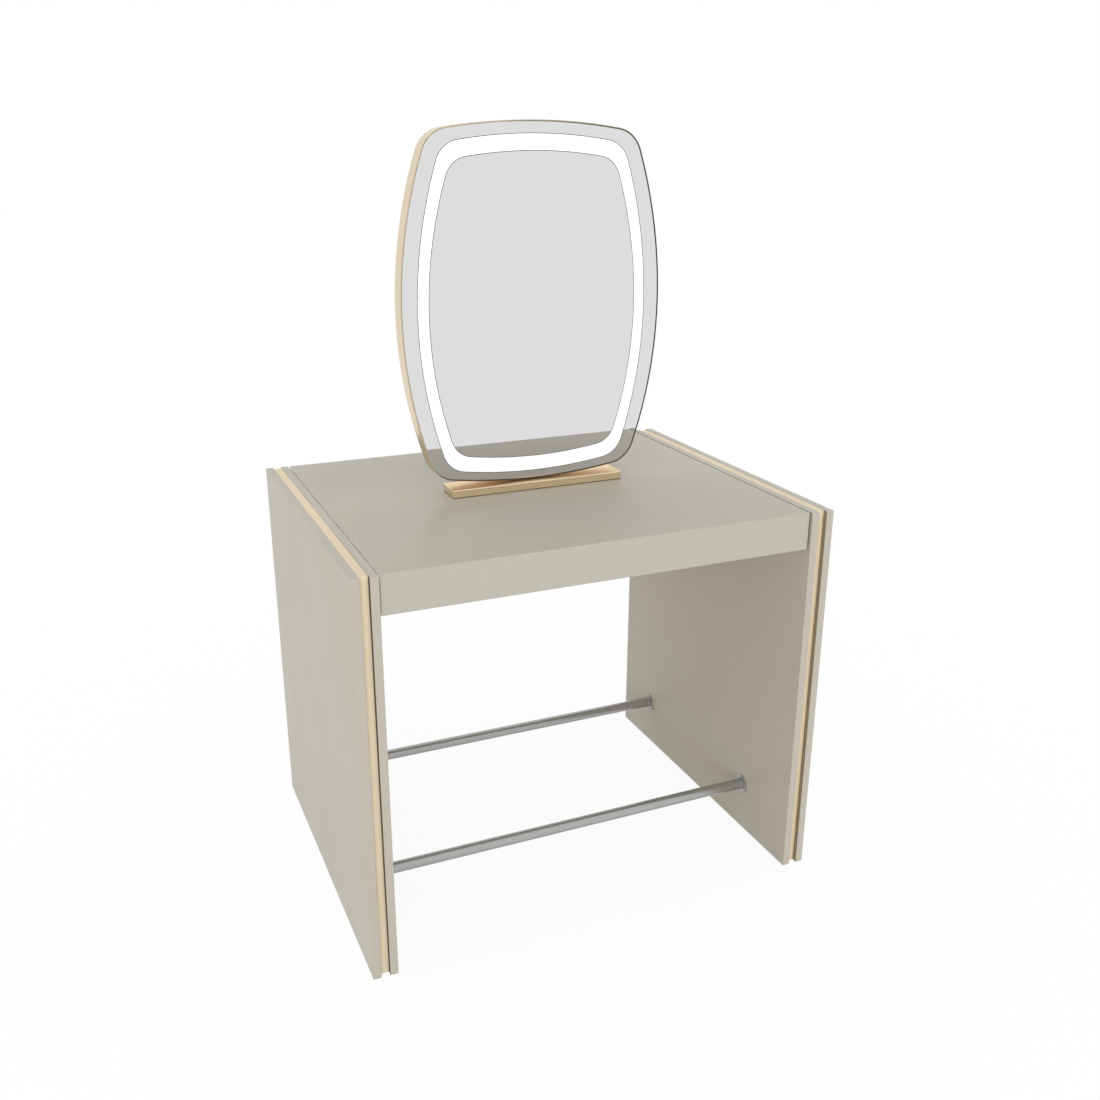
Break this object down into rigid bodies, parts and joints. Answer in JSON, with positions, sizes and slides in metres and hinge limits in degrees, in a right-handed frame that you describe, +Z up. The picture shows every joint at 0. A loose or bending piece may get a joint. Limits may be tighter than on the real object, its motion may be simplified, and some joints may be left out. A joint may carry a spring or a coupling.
{
  "type": "salon mirror console",
  "caption": "Double-sided salon mirror console: sandwich side panels carry a boxed top and chrome foot rails; a lit barrel-shaped mirror stands upright on a gold bar.",
  "frame": {"origin": "on the floor, under the middle of the two side panels", "axes": "+X to the right as seen by a client at the front, +Y to the rear, +Z up"},
  "size_m": [1.03, 0.795, 1.6266],
  "materials": {
    "panel_board": "satin greige melamine facing on board, matching edge band",
    "top_board": "satin greige melamine facing, slightly glossier than the panels",
    "gold_board": "pale gold satin foil on board",
    "carcass_board": "raw board, unseen inside the top",
    "underside_board": "matt greige melamine",
    "dowel_wood": "beech",
    "glide_plastic": "matt black",
    "spacer_plastic": "matt black",
    "fastener_steel": "zinc plated",
    "stud_steel": "zinc plated",
    "insert_brass": "turned",
    "gasket_rubber": "matt black",
    "gold_metal": "pale gold satin anodised",
    "chrome": "polished",
    "mirror_glass": "silvered glass",
    "light_diffuser": "opal, lit from behind",
    "carrier_foam": "matt black",
    "led_tape": "white tape",
    "lead_jacket": "black jacket",
    "device_plastic": "black moulding",
    "driver_case": "white case",
    "button_plastic": "satin grey"
  },
  "bodies": {
    "console": {"base_gasket": "gasket_rubber", "block_screws": "fastener_steel", "carcass_dowels": "dowel_wood", "driver_screws": "fastener_steel", "floor_glides": "glide_plastic", "frame_clamp_plate": "fastener_steel", "front_carrier": "carrier_foam", "front_fascia": "top_board", "front_foot_rail": "chrome", "front_inner_mirror": "mirror_glass", "front_led_strip": "led_tape", "front_light_band": "light_diffuser", "front_outer_mirror": "mirror_glass", "front_rib": "carcass_board", "gap_spacers": "spacer_plastic", "gland_nut": "device_plastic", "led_driver": "driver_case", "led_junction": "device_plastic", "led_lead": "lead_jacket", "left_core_board": "gold_board", "left_end_rail": "carcass_board", "left_front_rail_socket": "chrome", "left_inner_board": "panel_board", "left_mirror_stud": "stud_steel", "left_outer_board": "panel_board", "left_rear_rail_socket": "chrome", "mains_gland": "device_plastic", "mains_leads": "lead_jacket", "mains_terminal": "device_plastic", "mirror_base_bar": "gold_metal", "mirror_block": "carcass_board", "mirror_frame": "gold_metal", "mirror_posts": "gold_metal", "panel_bolts": "fastener_steel", "panel_dowels": "dowel_wood", "panel_inserts": "insert_brass", "rail_socket_screws": "fastener_steel", "rear_carrier": "carrier_foam", "rear_fascia": "top_board", "rear_foot_rail": "chrome", "rear_inner_mirror": "mirror_glass", "rear_led_strip": "led_tape", "rear_light_band": "light_diffuser", "rear_outer_mirror": "mirror_glass", "rear_rib": "carcass_board", "right_core_board": "gold_board", "right_end_rail": "carcass_board", "right_front_rail_socket": "chrome", "right_inner_board": "panel_board", "right_mirror_stud": "stud_steel", "right_outer_board": "panel_board", "right_rear_rail_socket": "chrome", "stud_nuts": "fastener_steel", "switch_body": "device_plastic", "switch_nut": "device_plastic", "top_panel": "top_board", "underside_panel": "underside_board", "underside_screws": "fastener_steel"},
    "switch_button": {"light_button": "button_plastic"}
  },
  "joints": [
    {"name": "light_button_press", "type": "slide", "parent": "console", "child": "switch_button", "axis": [0, 0, 1], "range_m": [0, 0.003], "stiffness_N_per_m": 800, "springref_m": -0.002}
  ]
}
